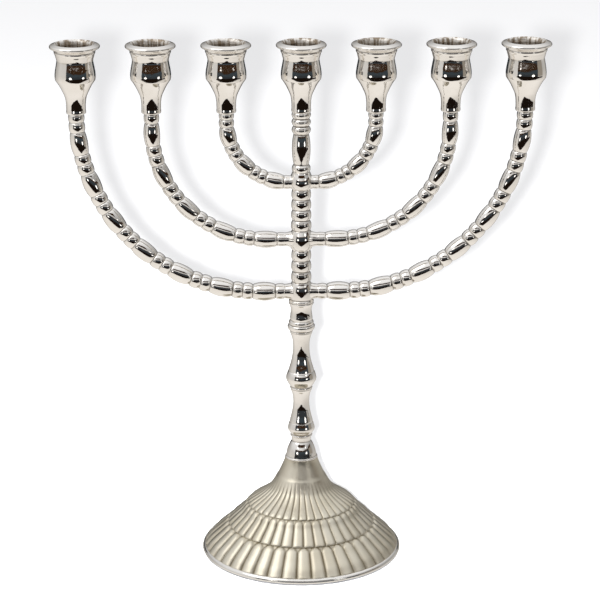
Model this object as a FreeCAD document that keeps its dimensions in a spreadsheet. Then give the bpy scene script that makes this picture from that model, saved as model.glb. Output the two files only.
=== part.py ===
"""Seven-branch menorah: a tiered foot, a turned stem on a tie rod, three U-shaped branches and seven cups.

Frame: origin at the centre of the underside, +Z up, the branches in the XZ plane. Millimetres.
Every turned piece is drawn from its own seat (height 0) and placed at its height in the stack.
"""
import FreeCAD, Part
import math
import os

import Sketcher

doc = FreeCAD.newDocument("Menorah")
sheet = doc.addObject("Spreadsheet::Sheet", "Dimensions")
vec = FreeCAD.Vector


# ---------------------------------------------------------------- driving dimensions

class Size:
    """A length with its value and the sheet formula that it follows."""

    def __init__(self, value, formula):
        self.value = float(value)
        self.formula = formula

    def __add__(self, other):
        other = as_size(other)
        return Size(self.value + other.value, f"({self.formula} + {other.formula})")

    def __sub__(self, other):
        other = as_size(other)
        return Size(self.value - other.value, f"({self.formula} - {other.formula})")

    def __mul__(self, other):
        other = as_size(other)
        return Size(self.value * other.value, f"({self.formula} * {other.formula})")

    def __truediv__(self, other):
        other = as_size(other)
        return Size(self.value / other.value, f"({self.formula} / {other.formula})")


def as_size(number):
    return number if isinstance(number, Size) else Size(number, repr(float(number)))


def driving(alias, value):
    """Put one driving dimension on the sheet and return it as a Size."""
    row = driving.row
    sheet.set(f"A{row}", alias)
    sheet.set(f"B{row}", str(value))
    sheet.setAlias(f"B{row}", alias)
    driving.row += 1
    return Size(value, f"{sheet.Name}.{alias}")


driving.row = 1

# Stack heights, from the table up.
felt_thickness = driving("felt_thickness", 1.2)
foot_height = driving("foot_height", 55.3)
bell_height = driving("bell_height", 12.9)
lower_baluster_height = driving("lower_baluster_height", 28.9)
upper_baluster_height = driving("upper_baluster_height", 34.2)
collar_height = driving("collar_height", 17.7)
outer_hub_height = driving("outer_hub_height", 12.0)
lower_spacer_height = driving("lower_spacer_height", 19.1)
middle_hub_height = driving("middle_hub_height", 11.2)
upper_spacer_height = driving("upper_spacer_height", 24.1)
inner_hub_height = driving("inner_hub_height", 9.7)
finial_height = driving("finial_height", 34.2)
turning_gap = driving("turning_gap", 0.02)

# Foot.
foot_radius = driving("foot_radius", 57.4)
foot_wall = driving("foot_wall", 2.4)
foot_neck_radius = driving("foot_neck_radius", 9.4)
lower_tier_height = driving("lower_tier_height", 4.0)
middle_tier_height = driving("middle_tier_height", 17.0)
upper_tier_height = driving("upper_tier_height", 28.4)
tier_ledge = driving("tier_ledge", 1.5)
tier_curve = driving("tier_curve", 46)
upper_tier_curve = driving("upper_tier_curve", 60)
neck_curve = driving("neck_curve", 48)
rim_lean = driving("rim_lean", 1.6)
lower_tier_reach = driving("lower_tier_reach", 14.6)
middle_tier_reach = driving("middle_tier_reach", 25.2)
neck_foot_reach = driving("neck_foot_reach", 7.8)
neck_length = driving("neck_length", 15.5)
felt_inset = driving("felt_inset", 0.4)

# Stem.
waist_radius = driving("waist_radius", 4.7)
stem_seat_radius = driving("stem_seat_radius", 6.3)
lower_ridge_radius = driving("lower_ridge_radius", 7.8)
lower_ridge_height = driving("lower_ridge_height", 5.6)
upper_ridge_radius = driving("upper_ridge_radius", 8.7)
upper_ridge_height = driving("upper_ridge_height", 6.6)
collar_ring_radius = driving("collar_ring_radius", 7.8)
stem_bead_radius = driving("stem_bead_radius", 5.7)
stem_groove_radius = driving("stem_groove_radius", 4.9)
seat_bead_curve = driving("seat_bead_curve", 1.0)
ridge_inset = driving("ridge_inset", 0.56)
ridge_half = driving("ridge_half", 0.9)
baluster_taper_curve = driving("baluster_taper_curve", 36)
baluster_flare_curve = driving("baluster_flare_curve", 22)
baluster_flare = driving("baluster_flare", 6.4)
bell_curve = driving("bell_curve", 17)
bell_flare = driving("bell_flare", 2.6)
hub_radius = driving("hub_radius", 6.6)
flange_radius = driving("flange_radius", 7.1)

# Branches.
cup_spacing = driving("cup_spacing", 41.5)
outer_bend = driving("outer_bend", 103.0)
middle_bend = driving("middle_bend", 64.2)
inner_bend = driving("inner_bend", 34.2)
outer_rise = driving("outer_rise", 6.3)
middle_rise = driving("middle_rise", 5.8)
inner_rise = driving("inner_rise", 3.7)
outer_olive_radius = driving("outer_olive_radius", 5.1)
slim_olive_radius = driving("slim_olive_radius", 4.7)
bead_inset = driving("bead_inset", 0.35)
groove_inset = driving("groove_inset", 1.1)
arm_sink = driving("arm_sink", 1.5)
hub_ring_height = driving("hub_ring_height", 1.7)

# Cups.
cup_height = driving("cup_height", 39.38)
cup_lip_radius = driving("cup_lip_radius", 14.0)
cup_mouth_radius = driving("cup_mouth_radius", 10.9)
cup_belly_radius = driving("cup_belly_radius", 11.2)
cup_foot_radius = driving("cup_foot_radius", 5.45)
candle_bore_radius = driving("candle_bore_radius", 9.6)
candle_bore_depth = driving("candle_bore_depth", 20.5)
cup_neck_height = driving("cup_neck_height", 7.2)
cup_shoulder_height = driving("cup_shoulder_height", 18.0)
cup_waist_height = driving("cup_waist_height", 29.2)
cup_collar_height = driving("cup_collar_height", 34.0)
cup_lip_depth = driving("cup_lip_depth", 2.3)

# Fasteners: an M6 tie rod with nut and washer, and an M5 stud under every cup.
rod_radius = driving("rod_radius", 3.0)
stud_radius = driving("stud_radius", 2.5)
running_gap = driving("running_gap", 0.05)
stud_length = driving("stud_length", 17.0)
stud_sunk = driving("stud_sunk", 8.0)
thread_relief = driving("thread_relief", 1.0)
foot_crown = driving("foot_crown", 5.0)
washer_radius = driving("washer_radius", 6.0)
washer_thickness = driving("washer_thickness", 1.6)
nut_across_flats = driving("nut_across_flats", 10.0)
nut_thickness = driving("nut_thickness", 5.0)
rod_tail = driving("rod_tail", 3.0)
rod_grip = driving("rod_grip", 14.0)

# Seat of every piece in the stack.
foot_seat = felt_thickness
bell_seat = foot_seat + foot_height
lower_baluster_seat = bell_seat + bell_height
upper_baluster_seat = lower_baluster_seat + lower_baluster_height
collar_seat = upper_baluster_seat + upper_baluster_height
outer_hub_seat = collar_seat + collar_height + turning_gap
lower_spacer_seat = outer_hub_seat + outer_hub_height + turning_gap
middle_hub_seat = lower_spacer_seat + lower_spacer_height + turning_gap
upper_spacer_seat = middle_hub_seat + middle_hub_height + turning_gap
inner_hub_seat = upper_spacer_seat + upper_spacer_height + turning_gap
finial_seat = inner_hub_seat + inner_hub_height + turning_gap
branch_top = finial_seat + finial_height
cup_seat = branch_top + turning_gap
rod_bore = rod_radius + running_gap
stud_bore = stud_radius + running_gap


# ---------------------------------------------------------------- building blocks

nodes = []


def export_as(piece, label, height=None, across=None):
    """Label a finished sub-part, bind its place and list it for export."""
    piece.Label = label
    if height is not None:
        piece.setExpression(".Placement.Base.z", as_size(height).formula)
    if across is not None:
        piece.setExpression(".Placement.Base.x", as_size(across).formula)
    nodes.append(piece)
    return piece


def arc_through(start, end, bend):
    """Arc from start to end; a positive bend has its centre on the left of the way from start to end."""
    chord = end - start
    middle = (start + end) * 0.5
    left = vec(-chord.y, chord.x, 0).normalize()
    radius = abs(bend)
    offset = math.sqrt(radius ** 2 - (chord.Length / 2) ** 2)
    centre = middle + left * math.copysign(offset, bend)
    first, last = (start, end) if bend > 0 else (end, start)
    first_angle = math.atan2(first.y - centre.y, first.x - centre.x)
    last_angle = math.atan2(last.y - centre.y, last.x - centre.x)
    if last_angle < first_angle:
        last_angle += 2 * math.pi
    return Part.ArcOfCircle(Part.Circle(centre, vec(0, 0, 1), radius), first_angle, last_angle)


def bind(sketch, constraint, formula):
    index = sketch.addConstraint(constraint)
    sketch.setExpression(f"Constraints[{index}]", formula)


def draw_outline(sketch, outline):
    """Closed outline of (radius, height) points; a third value bends the line that ends at that point."""
    points = [(as_size(p[0]), as_size(p[1])) for p in outline]
    bends = [as_size(p[2]) if len(p) > 2 else None for p in outline]
    places = [vec(x.value, y.value, 0) for x, y in points]
    sides = []
    for i in range(len(outline)):
        following = (i + 1) % len(outline)
        bend = bends[following]
        if bend is None:
            sketch.addGeometry(Part.LineSegment(places[i], places[following]))
            sides.append((1, 2))
            continue
        sketch.addGeometry(arc_through(places[i], places[following], bend.value))
        sides.append((1, 2) if bend.value > 0 else (2, 1))
        magnitude = bend if bend.value > 0 else as_size(0) - bend
        bind(sketch, Sketcher.Constraint("Radius", i, magnitude.value), magnitude.formula)
    for i, (x, y) in enumerate(points):
        corner = sides[i][0]
        sketch.addConstraint(Sketcher.Constraint("Coincident", i - 1 if i else len(points) - 1,
                                                 sides[i - 1][1], i, corner))
        for size, kind, axis in ((x, "DistanceX", -2), (y, "DistanceY", -1)):
            if abs(size.value) < 1e-9:
                sketch.addConstraint(Sketcher.Constraint("PointOnObject", i, corner, axis))
            else:
                bind(sketch, Sketcher.Constraint(kind, -1, 1, i, corner, size.value), size.formula)


def turned_body(name, outline):
    """A piece turned on a lathe: its half outline, revolved about the vertical axis."""
    body = doc.addObject("PartDesign::Body", name)
    sketch = body.newObject("Sketcher::SketchObject", name + "_outline")
    plane = next(feature for feature in body.Origin.OriginFeatures if feature.Role == "XZ_Plane")
    sketch.AttachmentSupport = [(plane, "")]
    sketch.MapMode = "FlatFace"
    draw_outline(sketch, outline)
    turning = body.newObject("PartDesign::Revolution", name + "_turning")
    turning.Profile = sketch
    turning.ReferenceAxis = (sketch, ["V_Axis"])
    turning.Angle = 360
    body.Tip = turning
    return body


def bulge(length, height):
    """Radius of an arc from the length of its chord and its height over the chord."""
    half = length / 2
    return half * half / (height * 2) + height / 2


def bead_string(count, length, crest, groove, start):
    """Outline points up the side of a row of equal beads."""
    bend = bulge(length, crest - groove)
    return [(groove, start + length * (i + 1), bend) for i in range(count)]


def barrel_string(count, length, crest, groove):
    """Outline points up the side of a row of equal barrels, each a short land between two round shoulders."""
    shoulder = length * 0.3
    rise = crest - groove
    bend = bulge(shoulder * 2, rise)
    points = []
    for i in range(count):
        foot = length * i
        points.append((crest, foot + shoulder, bend))
        points.append((crest, foot + length - shoulder))
        points.append((groove, foot + length, bend))
    return points


def rod_piece(name, radius, length):
    rod = doc.addObject("Part::Cylinder", name)
    rod.setExpression("Radius", as_size(radius).formula)
    rod.setExpression("Height", as_size(length).formula)
    return rod


# ---------------------------------------------------------------- foot

def make_felt():
    felt = rod_piece("felt", foot_radius - felt_inset, felt_thickness)
    export_as(felt, "base_felt")


def make_foot():
    """Thin tiered shell: a rim band, three bulging tiers with ledges between them and a hollow neck."""
    lower = lower_tier_height - felt_thickness
    middle = middle_tier_height - felt_thickness
    upper = upper_tier_height - felt_thickness
    rim = foot_radius
    crown = foot_height - foot_crown
    shoulder = foot_height - neck_length
    inner_rim = rim - foot_wall
    outline = [
        (inner_rim, 0),
        (rim, 0),
        (rim - rim_lean / 8, lower * 0.4),
        (rim - rim_lean, lower),
        (rim - lower_tier_reach, middle, tier_curve),
        (rim - lower_tier_reach - tier_ledge, middle + tier_ledge * 0.6),
        (rim - middle_tier_reach, upper, tier_curve),
        (rim - middle_tier_reach - tier_ledge * 1.6, upper + tier_ledge * 1.25),
        (foot_neck_radius + neck_foot_reach, shoulder, upper_tier_curve),
        (foot_neck_radius, foot_height, as_size(0) - neck_curve),
        (rod_bore, foot_height),
        (rod_bore, crown),
        (foot_neck_radius - foot_wall / 2, crown),
        (foot_neck_radius + neck_foot_reach - foot_wall, shoulder - rim_lean),
        (inner_rim - middle_tier_reach - tier_ledge * 2, upper - 0.4),
        (inner_rim - lower_tier_reach - tier_ledge * 1.3, middle - tier_ledge),
        (inner_rim - foot_wall, lower * 0.6),
    ]
    export_as(turned_body("foot", outline), "base_shell", foot_seat)


def make_nut_and_washer():
    washer_seat = bell_seat - foot_crown - washer_thickness
    washer = turned_body("washer", [
        (rod_bore, 0),
        (washer_radius, 0),
        (washer_radius, washer_thickness),
        (rod_bore, washer_thickness),
    ])
    export_as(washer, "tie_washer", washer_seat)

    blank = doc.addObject("Part::Prism", "nut_blank")
    blank.Polygon = 6
    blank.setExpression("Circumradius", (nut_across_flats / math.sqrt(3)).formula)
    blank.setExpression("Height", nut_thickness.formula)
    hole = rod_piece("nut_hole", rod_bore, nut_thickness)
    nut = doc.addObject("Part::Cut", "nut")
    nut.Base = blank
    nut.Tool = hole
    export_as(nut, "tie_nut", washer_seat - nut_thickness)

    tail = washer_seat - nut_thickness - rod_tail
    rod = rod_piece("rod", rod_radius, finial_seat + rod_grip - tail)
    export_as(rod, "tie_rod", tail)


# ---------------------------------------------------------------- stem

def make_bell():
    outline = [
        (rod_bore, 0),
        (foot_neck_radius, 0),
        (foot_neck_radius - 0.4, 0.8),
        (stem_seat_radius - 0.6, bell_height - bell_flare, as_size(0) - bell_curve),
        (stem_seat_radius - 0.2, bell_height, as_size(-8)),
        (rod_bore, bell_height),
    ]
    export_as(turned_body("bell", outline), "stem_bell", bell_seat)


def baluster_outline(height, ridge, ridge_height):
    """A pear: seat ring, sharp ridge, fine groove above it, a long taper to a waist and a flared top."""
    return [
        (rod_bore, 0),
        (stem_seat_radius - 0.2, 0),
        (stem_seat_radius, 0.8, seat_bead_curve),
        (stem_seat_radius - 0.3, 1.8, seat_bead_curve),
        (ridge - ridge_inset, ridge_height - ridge_half, as_size(-7)),
        (ridge - ridge_inset, ridge_height + ridge_half, seat_bead_curve),
        (ridge - 0.8, ridge_height + 2.2),
        (waist_radius, ridge_height + height * 0.52, baluster_taper_curve),
        (waist_radius, height - baluster_flare),
        (stem_seat_radius - 0.8, height, as_size(0) - baluster_flare_curve),
        (rod_bore, height),
    ]


def make_balusters():
    for name, height, ridge, ridge_height, seat in (
        ("lower_baluster", lower_baluster_height, lower_ridge_radius, lower_ridge_height, lower_baluster_seat),
        ("upper_baluster", upper_baluster_height, upper_ridge_radius, upper_ridge_height, upper_baluster_seat),
    ):
        outline = baluster_outline(height, ridge, ridge_height)
        export_as(turned_body(name + "_turned", outline), name, seat)


def make_collar():
    """Collar under the lowest branch: a bold ring, a slim ring over it and a flared top."""
    bold = collar_ring_radius - 0.53
    slim = collar_ring_radius - 1.05
    outline = [
        (rod_bore, 0),
        (stem_seat_radius - 0.1, 0),
        (collar_ring_radius - 1.2, 2.4, as_size(-4)),
        (bold, 2.9),
        (bold, 5.1, as_size(1.4)),
        (slim, 5.5),
        (slim, 7.0, as_size(1.6)),
        (stem_seat_radius - 0.35, 12.4, as_size(-16)),
        (stem_seat_radius, collar_height, as_size(-30)),
        (rod_bore, collar_height),
    ]
    export_as(turned_body("collar", outline), "stem_collar", collar_seat)


def make_spacers():
    for name, height, count, seat in (
        ("lower_spacer", lower_spacer_height, 3, lower_spacer_seat),
        ("upper_spacer", upper_spacer_height, 4, upper_spacer_seat),
    ):
        beads = barrel_string(count, height / count, stem_bead_radius, stem_groove_radius)
        outline = [(rod_bore, 0), (stem_groove_radius, 0)] + beads + [(rod_bore, height)]
        export_as(turned_body(name + "_turned", outline), name, seat)


def make_finial():
    """Top of the stem, over the inner branch: a ring, a long olive and three beads under the middle cup."""
    ring_top = as_size(4.4)
    olive_length = as_size(17.2)
    bead_length = (finial_height - ring_top - olive_length) / 3
    olive_bend = bulge(olive_length, stem_bead_radius - stem_groove_radius + 0.6)
    groove = stem_groove_radius - 0.6
    outline = [
        (rod_bore, 0),
        (stem_groove_radius, 0),
        (groove, ring_top, bulge(ring_top, as_size(0.5))),
        (groove, ring_top + olive_length, olive_bend),
    ]
    outline += bead_string(3, bead_length, stem_bead_radius - 0.2, groove, ring_top + olive_length)
    sink = finial_height - stud_sunk - thread_relief
    outline += [
        (stud_bore, finial_height),
        (stud_bore, sink),
        (0, sink),
        (0, rod_grip + thread_relief),
        (rod_bore, rod_grip + thread_relief),
    ]
    export_as(turned_body("finial", outline), "centre_stem_top", finial_seat)


# ---------------------------------------------------------------- branches

OLIVE_STATIONS = ((0.0, 0.0), (0.12, 0.42), (0.28, 0.81), (0.5, 1.0), (0.72, 0.81), (0.88, 0.42), (1.0, 0.0))
BEAD_STATIONS = ((0.0, 0.0), (0.2, 0.72), (0.5, 1.0), (0.8, 0.72), (1.0, 0.0))


def arm_stations(arm_length, olives, olive_length, bead_length, end_beads, lead, crest):
    """Stations (distance from the stem's axis along the arm, radius) of one arm's olives and beads."""
    groove = crest - groove_inset.value
    along = (hub_radius - arm_sink).value
    pattern = [("bead", lead - along)]
    for olive in range(olives):
        pattern.append(("olive", olive_length))
        beads = 2 if olive < olives - 1 else end_beads
        pattern += [("bead", bead_length)] * beads
    filled = along + sum(length for kind, length in pattern)
    pattern.append(("bead", arm_length - filled))
    stations = [(along, groove)]
    for kind, length in pattern:
        top = crest if kind == "olive" else crest - bead_inset.value
        shape = OLIVE_STATIONS if kind == "olive" else BEAD_STATIONS
        stations += [(along + length * part, groove + (top - groove) * swell) for part, swell in shape[1:]]
        along += length
    return stations


def arm_frame(along, reach, bend, rise):
    """Centre point and direction of the arm at a distance from the axis: a run, a quarter bend, a rise."""
    run = reach - bend
    arc = bend * math.pi / 2
    if along <= run:
        return vec(along, 0, rise), vec(1, 0, 0)
    if along >= run + arc:
        return vec(reach, 0, rise + bend + along - run - arc), vec(0, 0, 1)
    turn = (along - run) / bend
    centre = vec(run, 0, rise + bend)
    return centre + vec(math.sin(turn), 0, -math.cos(turn)) * bend, vec(math.cos(turn), 0, math.sin(turn))


def hub_outline(height, rise, foot_ring):
    """Barrel that the arms grow from, widest at the arms, with a ring at its foot."""
    return [
        (rod_bore, 0),
        (foot_ring - 0.3, 0),
        (foot_ring - 0.3, hub_ring_height, as_size(1.2)),
        (hub_radius, rise, as_size(9)),
        (stem_groove_radius + 0.5, height, as_size(18)),
        (rod_bore, height),
    ]


def make_branch(name, cups_out, height, rise, bend, seat, foot_ring, crest, pattern):
    """One casting: a hub on the tie rod and two beaded arms that bend up to a cup seat on each side."""
    hub = turned_body(name + "_hub", hub_outline(height, rise, foot_ring))
    reach = cup_spacing * cups_out
    top = branch_top - seat
    rings = []
    run = reach.value - bend.value
    arm_length = run + bend.value * math.pi / 2 + top.value - rise.value - bend.value
    for along, radius in arm_stations(arm_length, crest=crest.value, **pattern):
        point, heading = arm_frame(along, reach.value, bend.value, rise.value)
        rings.append(Part.Wire(Part.Circle(point, heading, radius).toShape()))
    arm = doc.addObject("Part::Feature", name + "_right_arm")
    arm.Shape = Part.makeLoft(rings, True, True)
    mirrored = doc.addObject("Part::Mirroring", name + "_left_arm")
    mirrored.Source = arm
    mirrored.Normal = vec(1, 0, 0)
    casting = doc.addObject("Part::MultiFuse", name + "_casting")
    casting.Shapes = [hub, arm, mirrored]

    sink = stud_sunk + thread_relief
    tools = []
    studs = []
    for side, sign in (("left", -1), ("right", 1)):
        hole = rod_piece(f"{name}_{side}_hole", stud_bore, sink + thread_relief)
        hole.setExpression(".Placement.Base.x", (reach * sign).formula)
        hole.setExpression(".Placement.Base.z", (top - sink).formula)
        tools.append(hole)
        stud = rod_piece(f"{name}_{side}_stud", stud_radius, stud_length)
        stud.setExpression(".Placement.Base.x", (reach * sign).formula)
        studs.append(stud)
    holes = doc.addObject("Part::Compound", name + "_holes")
    holes.Links = tools
    branch = doc.addObject("Part::Cut", name)
    branch.Base = casting
    branch.Tool = holes
    export_as(branch, name, seat)

    pair = doc.addObject("Part::Compound", name + "_stud_pair")
    pair.Links = studs
    export_as(pair, name + "_studs", branch_top - stud_sunk)


def make_branches():
    make_branch("outer_branch", 3, outer_hub_height, outer_rise, outer_bend, outer_hub_seat,
                flange_radius, outer_olive_radius,
                dict(olives=7, olive_length=13.0, bead_length=5.7, end_beads=1, lead=14.5))
    make_branch("middle_branch", 2, middle_hub_height, middle_rise, middle_bend, middle_hub_seat,
                hub_radius, slim_olive_radius,
                dict(olives=5, olive_length=13.0, bead_length=5.6, end_beads=0, lead=13.5))
    make_branch("inner_branch", 1, inner_hub_height, inner_rise, inner_bend, inner_hub_seat,
                hub_radius, slim_olive_radius,
                dict(olives=3, olive_length=10.5, bead_length=4.4, end_beads=1, lead=9.8))


# ---------------------------------------------------------------- cups

def cup_outline():
    """Candle cup: a blind bore inside a flared lip, a waisted barrel and a funnel down to the seat."""
    belly = cup_belly_radius
    foot = cup_foot_radius
    top = cup_height
    floor = top - candle_bore_depth
    sink = stud_length - stud_sunk + thread_relief
    return [
        (stud_bore, 0),
        (foot - 0.25, 0),
        (foot, 0.9, as_size(1.2)),
        (foot, cup_neck_height),
        (belly - 0.6, cup_shoulder_height, as_size(-19)),
        (belly - 0.2, cup_shoulder_height + 0.7),
        (belly, cup_shoulder_height + 3.8, as_size(5)),
        (belly - 1.0, cup_waist_height, as_size(-40)),
        (belly - 0.5, cup_collar_height - 1.6, as_size(-12)),
        (belly - 0.2, cup_collar_height),
        (cup_lip_radius - 0.5, top - cup_lip_depth, as_size(-6)),
        (cup_lip_radius - 0.2, top - 1.0, as_size(0.8)),
        (cup_mouth_radius, top, as_size(5)),
        (candle_bore_radius, top - 1.5, as_size(3)),
        (candle_bore_radius, floor),
        (0, floor),
        (0, sink),
        (stud_bore, sink),
    ]


def make_cups():
    for number in range(1, 8):
        cup = turned_body(f"cup_{number}", cup_outline())
        export_as(cup, f"candle_cup_{number}", cup_seat, cup_spacing * (number - 4))
    stud = rod_piece("centre_stud_rod", stud_radius, stud_length)
    export_as(stud, "centre_stud", branch_top - stud_sunk)


# ---------------------------------------------------------------- build, check, write

make_felt()
make_foot()
make_nut_and_washer()
make_bell()
make_balusters()
make_collar()
make_spacers()
make_finial()
make_branches()
make_cups()
doc.recompute()

for item in doc.Objects:
    if "Invalid" in item.State or "Error" in item.State:
        raise RuntimeError(f"{item.Name} failed: {item.State}")

os.makedirs("parts", exist_ok=True)
for node in nodes:
    shape = node.Shape
    if shape.isNull() or not shape.isValid():
        raise RuntimeError(f"{node.Label} has a bad shape")
    shape.exportStep(f"parts/{node.Label}.step")
    box = shape.optimalBoundingBox()
    print(f"{node.Label}: {len(shape.Solids)} solid(s), {shape.Volume:.0f} mm3, "
          f"x {box.XMin:.1f}..{box.XMax:.1f}, z {box.ZMin:.2f}..{box.ZMax:.2f}")
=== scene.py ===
"""Visual model of the seven-branch menorah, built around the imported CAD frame.

Outlines are (radius, height) points in millimetres; the studio and the camera are placed in metres.
"""
import math

import bmesh
import bpy
import numpy as np
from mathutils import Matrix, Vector, kdtree


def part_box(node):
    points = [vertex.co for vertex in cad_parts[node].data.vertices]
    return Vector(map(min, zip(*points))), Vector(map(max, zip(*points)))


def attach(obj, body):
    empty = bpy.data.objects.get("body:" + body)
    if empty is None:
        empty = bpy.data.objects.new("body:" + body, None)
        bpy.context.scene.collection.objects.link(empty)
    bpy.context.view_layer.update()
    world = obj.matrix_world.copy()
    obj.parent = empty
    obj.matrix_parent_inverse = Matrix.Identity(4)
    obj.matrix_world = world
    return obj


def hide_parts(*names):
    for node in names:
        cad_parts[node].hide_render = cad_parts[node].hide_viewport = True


MM = 0.001
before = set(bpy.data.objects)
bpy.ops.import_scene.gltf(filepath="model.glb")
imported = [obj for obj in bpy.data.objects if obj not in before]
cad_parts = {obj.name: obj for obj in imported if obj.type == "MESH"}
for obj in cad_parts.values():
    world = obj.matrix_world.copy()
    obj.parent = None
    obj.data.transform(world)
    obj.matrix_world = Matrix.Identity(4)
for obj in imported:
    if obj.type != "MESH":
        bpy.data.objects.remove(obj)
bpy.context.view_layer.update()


# ---------------------------------------------------------------- places from the CAD frame

def low(node):
    """Height of a CAD node's underside, in millimetres."""
    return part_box(node)[0].z / MM


def high(node):
    """Height of a CAD node's top, in millimetres."""
    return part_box(node)[1].z / MM


def across(node):
    """How far a CAD node's centre is to the right of the stem, in millimetres."""
    lowest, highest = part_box(node)
    return (lowest.x + highest.x) / 2 / MM


# ---------------------------------------------------------------- outlines

ROD_BORE = 3.05
STUD_BORE = 2.55
SPACING = 0.32        # between the points of a smooth outline
ON_AXIS = 1e-6        # a smaller radius is a point on the axis
LONGEST_CUT = 0.45    # share of the next step of the outline that a rounded corner may take
CREASE_REACH = 0.9    # how far to each side an outline is compared with itself
FULL_CREASE = 0.32    # hollow that counts as a full crease
SHARP_ANGLE = 38      # degrees between faces that make an edge sharp


def smooth(points, spacing=SPACING):
    """Points along a centripetal Catmull-Rom line through the given ones."""
    points = np.array(points, float)
    if len(points) == 2:
        return points
    line = np.vstack([2 * points[0] - points[1], points, 2 * points[-1] - points[-2]])
    made = [points[0]]
    for i in range(1, len(line) - 2):
        p = line[i - 1:i + 3]
        gaps = np.sqrt(np.linalg.norm(np.diff(p, axis=0), axis=1))
        knots = np.concatenate([[0], np.cumsum(gaps)])
        steps = max(2, math.ceil(np.linalg.norm(p[2] - p[1]) / spacing))
        for t in np.linspace(knots[1], knots[2], steps + 1)[1:]:
            a = [
                (knots[k + 1] - t) / gaps[k] * p[k] + (t - knots[k]) / gaps[k] * p[k + 1]
                for k in range(3)
            ]
            b = [
                (knots[k + 2] - t) / (knots[k + 2] - knots[k]) * a[k]
                + (t - knots[k]) / (knots[k + 2] - knots[k]) * a[k + 1]
                for k in range(2)
            ]
            made.append((knots[2] - t) / gaps[1] * b[0] + (t - knots[1]) / gaps[1] * b[1])
    return np.array(made)


def outlined(profile):
    """Closed outline through (radius, height) points, with the smooth stretches filled in.

    A third number makes the point a corner, rounded by that much."""
    count = len(profile)
    corners = [i for i, point in enumerate(profile) if len(point) == 3]
    stretches = []
    for first, last in zip(corners, corners[1:] + [corners[0] + count]):
        stretches.append(smooth([profile[i % count][:2] for i in range(first, last + 1)]))
    made = []
    for i, stretch in enumerate(stretches):
        before = stretches[i - 1]
        corner, cut = stretch[0], profile[corners[i]][2]
        if corner[0] < ON_AXIS or cut == 0:
            made.append(corner)
        else:
            back, ahead = before[-2] - corner, stretch[1] - corner
            back_size, ahead_size = np.linalg.norm(back), np.linalg.norm(ahead)
            entry = corner + back / back_size * min(cut, back_size * LONGEST_CUT)
            leave = corner + ahead / ahead_size * min(cut, ahead_size * LONGEST_CUT)
            made += [entry, entry * 0.25 + corner * 0.5 + leave * 0.25, leave]
        made += list(stretch[1:-1])
    return np.array(made)


def creases(outline):
    """How deep each point lies in a crease, 0 to 1, against the outline to each side of it."""
    steps = np.linalg.norm(np.roll(outline, -1, axis=0) - outline, axis=1)
    along = np.concatenate([[0], np.cumsum(steps)])
    looped = np.vstack([outline, outline[:1]])
    total = along[-1]

    def at(distance):
        distance = distance % total
        return np.stack([np.interp(distance, along, looped[:, k]) for k in range(2)], axis=1)

    middle = (at(along[:-1] - CREASE_REACH) + at(along[:-1] + CREASE_REACH)) / 2
    return np.clip((middle[:, 0] - outline[:, 0]) / FULL_CREASE, 0, 1)


# ---------------------------------------------------------------- meshes

def make_mesh(name, points, faces, body, nodes, material, marks, sharp=SHARP_ANGLE):
    """A closed mesh, smooth except at sharp edges, that rides on a CAD body if one is given.

    marks are numbers per vertex that the materials read: how deep it lies in a crease, which sets
    its painted shade, and whether it has the piece's second finish (a bore's roughness and painted
    reflection streaks, the foot rim's polish)."""
    mesh = bpy.data.meshes.new(name)
    mesh.from_pydata((np.array(points) * MM).tolist(), [], faces)
    for mark, values in marks.items():
        attribute = mesh.attributes.new(mark, "FLOAT", "POINT")
        attribute.data.foreach_set("value", np.array(values, np.float32))
    shell = bmesh.new()
    shell.from_mesh(mesh)
    bmesh.ops.recalc_face_normals(shell, faces=shell.faces)
    shell.to_mesh(mesh)
    shell.free()
    mesh.shade_smooth()
    mesh.set_sharp_from_angle(angle=math.radians(sharp))
    mesh.materials.append(material)
    piece = bpy.data.objects.new(name, mesh)
    bpy.context.scene.collection.objects.link(piece)
    if body:
        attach(piece, body)
        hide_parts(*nodes)
    return piece


def turned(outline, turns, base=0.0, centre=0.0, bored=False):
    """Points, faces and marks of an outline turned about a vertical axis.

    Points on the axis become poles. A bored piece has the bore's finish from its highest point
    inwards: rough, with painted reflection streaks in its colour."""
    angles = np.linspace(0, 2 * math.pi, turns, endpoint=False)
    points, rows, painted_shade, finish = [], [], [], []
    mouth = int(np.argmax(outline[:, 1]))
    for i, ((radius, height), crease) in enumerate(zip(outline, creases(outline))):
        count = 1 if radius < ON_AXIS else turns
        if count == 1:
            rows.append([len(points)] * turns)
            points.append((centre, 0, base + height))
        else:
            rows.append(list(range(len(points), len(points) + turns)))
            points += [
                (centre + radius * math.cos(a), radius * math.sin(a), base + height) for a in angles
            ]
        # the crease mark, which sets how much painted shade darkens the point
        painted_shade += [0 if count == 1 else crease] * count
        finish += [1.0 if bored and i > mouth else 0.0] * count
    return points, bands(rows, closed=True), {"crease": painted_shade, "finish": finish}


def bands(rows, closed):
    """Faces between neighbouring rings of vertices; one repeated vertex makes a ring a pole."""
    faces = []
    pairs = list(zip(rows, rows[1:] + rows[:1])) if closed else list(zip(rows, rows[1:]))
    for one, two in pairs:
        for i in range(len(one)):
            j = (i + 1) % len(one)
            corners = []
            for vertex in (one[i], one[j], two[j], two[i]):
                if vertex not in corners:
                    corners.append(vertex)
            if len(corners) > 2:
                faces.append(corners)
    return faces


def lathe(name, profile, node, body, material, turns=96, bored=False):
    """A turned piece that replaces a CAD node; its profile is stretched to the node's height."""
    outline = outlined(profile)
    tall = outline[:, 1].max()
    outline[:, 1] *= (high(node) - low(node)) / tall
    points, faces, marks = turned(outline, turns, low(node), across(node), bored)
    make_mesh(name, points, faces, body, [node], material, marks)


# ---------------------------------------------------------------- node materials

def material_nodes(name):
    """A new material, its node tree and shader, and the place on the object as a socket."""
    material = bpy.data.materials.new(name)
    material.use_nodes = True
    tree = material.node_tree
    shader = tree.nodes["Principled BSDF"]
    place = tree.nodes.new("ShaderNodeTexCoord").outputs["Object"]
    return material, tree, shader, place


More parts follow.
